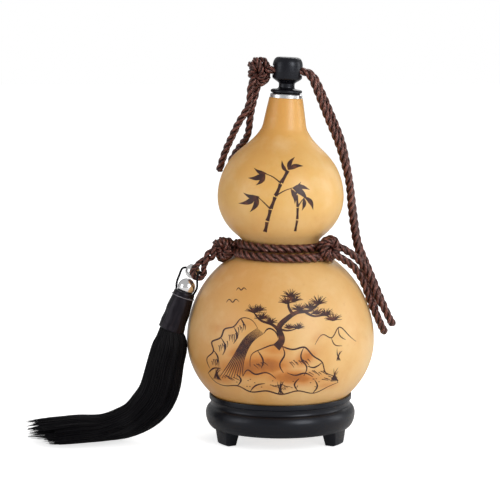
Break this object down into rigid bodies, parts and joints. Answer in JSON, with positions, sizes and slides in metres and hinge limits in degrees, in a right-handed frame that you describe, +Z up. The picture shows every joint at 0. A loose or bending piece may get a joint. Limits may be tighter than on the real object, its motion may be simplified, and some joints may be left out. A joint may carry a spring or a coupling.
{
  "type": "gourd water bottle",
  "caption": "Two-bulb gourd bottle with a corded knob stopper, a waist cord and a silk tassel, resting in a round three-footed stand.",
  "frame": {"origin": "on the table, under the middle of the stand and the gourd", "axes": "+Z up, -Y towards the viewer of the front, +X to the side of the strap's bend; the tassel hangs towards -X"},
  "size_m": [0.2093, 0.1052, 0.2165],
  "materials": {
    "black_lacquer": "satin black lacquer on turned wood",
    "waxed_gourd": "polished, waxed golden gourd skin",
    "wax": "thin beeswax coat",
    "ring_metal": "satin silver",
    "cork": "natural cork",
    "brown_cord": "satin three-strand twist",
    "bright_metal": "polished silver",
    "trim_thread": "grey satin rim thread",
    "black_satin": "smooth black satin sleeve",
    "black_silk": "fine black silk strands"
  },
  "bodies": {
    "stand": {"stand_ring": "black_lacquer", "stand_foot_left": "black_lacquer", "stand_foot_right": "black_lacquer", "stand_foot_back": "black_lacquer"},
    "gourd": {"gourd_shell": "waxed_gourd", "wax_lining": "wax", "mouth_ferrule": "ring_metal", "waist_rope": "brown_cord", "waist_knot_left": "brown_cord", "waist_knot_right": "brown_cord", "tassel_hanger": "brown_cord", "strap_cord_inner": "brown_cord", "strap_cord_outer": "brown_cord"},
    "stopper": {"cork_plug": "cork", "stopper_knob": "black_lacquer", "knob_knot": "brown_cord", "knob_cord_front": "brown_cord", "knob_cord_back": "brown_cord", "cord_tail_front": "brown_cord", "cord_tail_back": "brown_cord"},
    "tassel": {"upper_bead": "bright_metal", "lower_bead": "bright_metal", "tassel_loop": "black_silk", "tassel_cap": "black_satin", "cap_trim": "trim_thread", "tassel_skirt": "black_silk"}
  },
  "joints": [
    {"name": "gourd_lift", "type": "slide", "parent": "stand", "child": "gourd", "axis": [0, 0, 1], "range_m": [0, 0.03]},
    {"name": "stopper_pull", "type": "slide", "parent": "gourd", "child": "stopper", "axis": [0.0523, 0, 0.9986], "range_m": [0, 0.03]},
    {"name": "tassel_swing", "type": "hinge", "parent": "gourd", "child": "tassel", "pos_m": [-0.0458, -0.00798, 0.09598], "axis": [0, 1, 0], "range_deg": [0, 40]}
  ]
}
